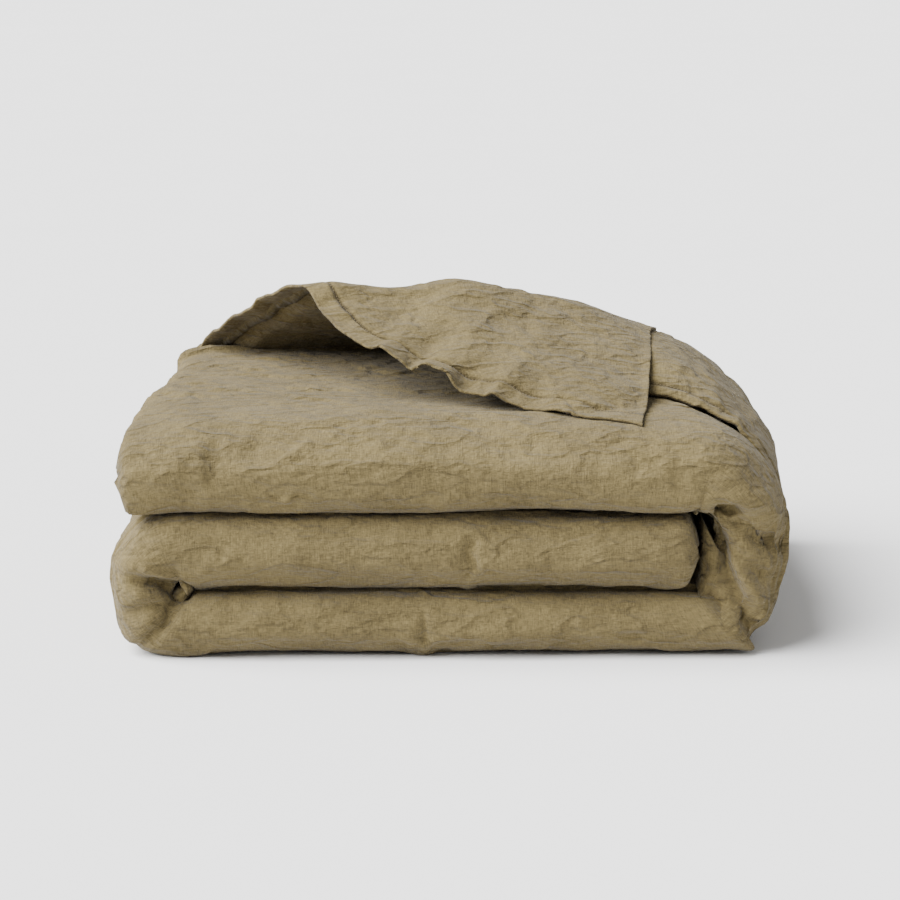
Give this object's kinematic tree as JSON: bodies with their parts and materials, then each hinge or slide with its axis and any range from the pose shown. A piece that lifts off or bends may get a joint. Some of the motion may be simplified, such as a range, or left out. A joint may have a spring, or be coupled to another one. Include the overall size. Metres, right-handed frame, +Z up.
{
  "type": "folded duvet",
  "caption": "Filled duvet in a washed linen cover, folded and rolled into a stack, with one corner of the open end turned back as a flap.",
  "frame": {"origin": "centre of the bounding box seen from above, at the height of the underside", "axes": "+X to the right of someone facing the front folds, along the longest side; +Y from the front folds towards the layered back; +Z up"},
  "size_m": [0.6856, 0.52, 0.3367],
  "materials": {
    "linen_cover": "washed linen, matte",
    "linen_inside": "washed linen, matte, inner face",
    "insert_ticking": "down-proof cotton, matte",
    "cotton_cord": "plain cotton cord",
    "stitch_thread": "matte thread",
    "button_shell": "satin coconut shell"
  },
  "bodies": {
    "stack": {"cover_bottom_run": "linen_cover", "cover_left_bend": "linen_cover", "cover_middle_run": "linen_cover", "cover_right_bend": "linen_cover", "cover_tie_head_inner": "cotton_cord", "cover_tie_head_outer": "cotton_cord", "head_end_seam": "linen_cover", "insert_bottom_run": "insert_ticking", "insert_left_bend": "insert_ticking", "insert_loop_head_inner": "cotton_cord", "insert_loop_head_outer": "cotton_cord", "insert_middle_run": "insert_ticking", "insert_right_bend": "insert_ticking", "side_seam_inner_bottom_run": "linen_cover", "side_seam_inner_middle_run": "linen_cover", "side_seam_outer_bottom_run": "linen_cover", "side_seam_outer_middle_run": "linen_cover"},
    "top_run": {"cover_top_run": "linen_cover", "insert_top_run": "insert_ticking", "side_seam_inner_top_run": "linen_cover", "opening_hem": "linen_cover", "cover_tie_foot_inner": "cotton_cord", "insert_loop_foot_inner": "cotton_cord", "turnover_face_panel": "linen_cover", "turnover_hem_facing": "linen_cover", "insert_turnover": "insert_ticking", "turnover_lining_panel": "linen_inside", "turnover_ridge_fold": "linen_cover", "turnover_wrap_panel": "linen_cover", "insert_turnover_wrap": "insert_ticking", "side_seam_turnover": "linen_cover"},
    "flap": {"button_1": "button_shell", "button_2": "button_shell", "button_3": "button_shell", "button_4": "button_shell", "flap_face_panel": "linen_cover", "flap_hem_facing_inner": "linen_inside", "flap_hem_facing_outer": "linen_cover", "flap_hem_stitching": "stitch_thread", "flap_lining_panel": "linen_inside"}
  },
  "joints": [
    {"name": "top_run_unfold", "type": "hinge", "parent": "stack", "child": "top_run", "pos_m": [0.28002, 0, 0.1253], "axis": [0, 1, 0], "range_deg": [0, 90], "deforming": ["cover_right_bend", "insert_right_bend"]},
    {"name": "flap_turn", "type": "hinge", "parent": "top_run", "child": "flap", "pos_m": [0.02482, 0.01, 0.311], "axis": [-0.9838, -0.1066, 0.1439], "range_deg": [0, 140], "deforming": ["turnover_ridge_fold"]}
  ]
}
